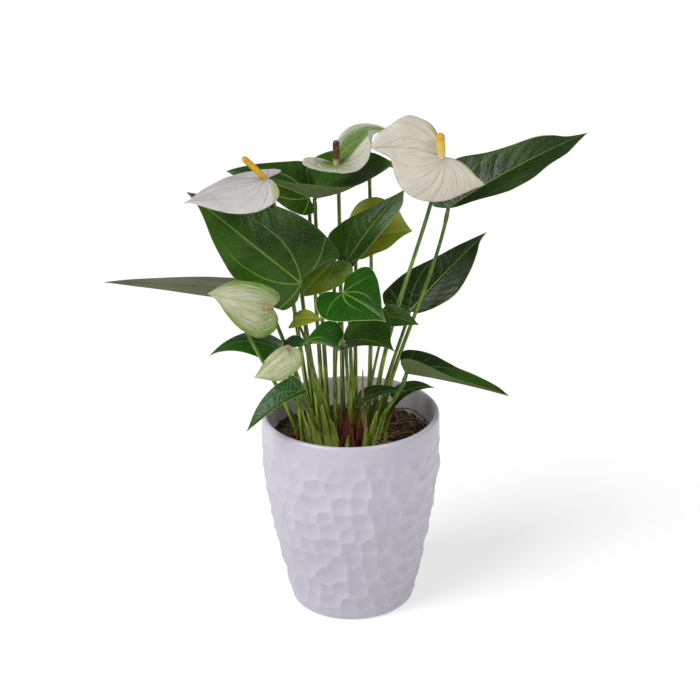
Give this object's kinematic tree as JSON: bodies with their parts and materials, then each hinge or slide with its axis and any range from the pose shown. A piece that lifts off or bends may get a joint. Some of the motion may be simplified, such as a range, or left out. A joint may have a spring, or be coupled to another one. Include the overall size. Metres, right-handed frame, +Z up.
{
  "type": "potted anthurium plant",
  "caption": "Living anthurium with heart-shaped leaves and white spathes on thin stalks, rooted in soil in a tapered pale ceramic pot with a hammered outside and a smooth rim.",
  "frame": {"origin": "centre of the pot's flat foot, where the pot stands on the surface", "axes": "+Z up along the pot's axis, -Y towards the front of the plant, +X to the right of someone facing the front"},
  "size_m": [0.3701, 0.1934, 0.4112],
  "materials": {
    "glazed_ceramic": "satin",
    "potting_soil": "matte",
    "dry_sheath": "matte",
    "leaf_dark": "satin",
    "leaf_bright": "satin",
    "leaf_young": "satin",
    "leaf_back": "matte",
    "petiole_green": "satin",
    "spathe_white": "satin",
    "spathe_green": "satin",
    "spadix_yellow": "matte",
    "spadix_brown": "matte",
    "spadix_tan": "matte"
  },
  "bodies": {
    "root": {"pot": "glazed_ceramic", "root_ball": "potting_soil", "crown_sheath": "dry_sheath", "leaf_01": "leaf_dark", "petiole_01": "petiole_green", "leaf_02": "leaf_back", "petiole_02": "petiole_green", "leaf_03": "leaf_bright", "petiole_03": "petiole_green", "leaf_04": "leaf_bright", "petiole_04": "petiole_green", "leaf_05": "leaf_bright", "petiole_05": "petiole_green", "leaf_06": "leaf_dark", "petiole_06": "petiole_green", "leaf_07": "leaf_young", "petiole_07": "petiole_green", "leaf_08": "leaf_young", "petiole_08": "petiole_green", "leaf_09": "leaf_young", "petiole_09": "petiole_green", "leaf_10": "leaf_bright", "petiole_10": "petiole_green", "leaf_11": "leaf_dark", "petiole_11": "petiole_green", "leaf_12": "leaf_dark", "petiole_12": "petiole_green", "leaf_13": "leaf_dark", "petiole_13": "petiole_green", "leaf_14": "leaf_dark", "petiole_14": "petiole_green", "leaf_15": "leaf_dark", "petiole_15": "petiole_green", "leaf_16": "leaf_dark", "petiole_16": "petiole_green", "leaf_17": "leaf_dark", "petiole_17": "petiole_green", "leaf_18": "leaf_dark", "petiole_18": "petiole_green", "leaf_19": "leaf_dark", "petiole_19": "petiole_green", "leaf_20": "leaf_dark", "petiole_20": "petiole_green", "leaf_21": "leaf_dark", "petiole_21": "petiole_green", "spathe_1": "spathe_white", "spadix_1": "spadix_yellow", "flower_stalk_1": "petiole_green", "spathe_2": "spathe_green", "spadix_2": "spadix_brown", "flower_stalk_2": "petiole_green", "spathe_3": "spathe_white", "spadix_3": "spadix_yellow", "flower_stalk_3": "petiole_green", "spathe_4": "spathe_green", "spadix_4": "spadix_tan", "flower_stalk_4": "petiole_green", "spathe_5": "spathe_green", "spadix_5": "spadix_tan", "flower_stalk_5": "petiole_green"}
  },
  "joints": []
}
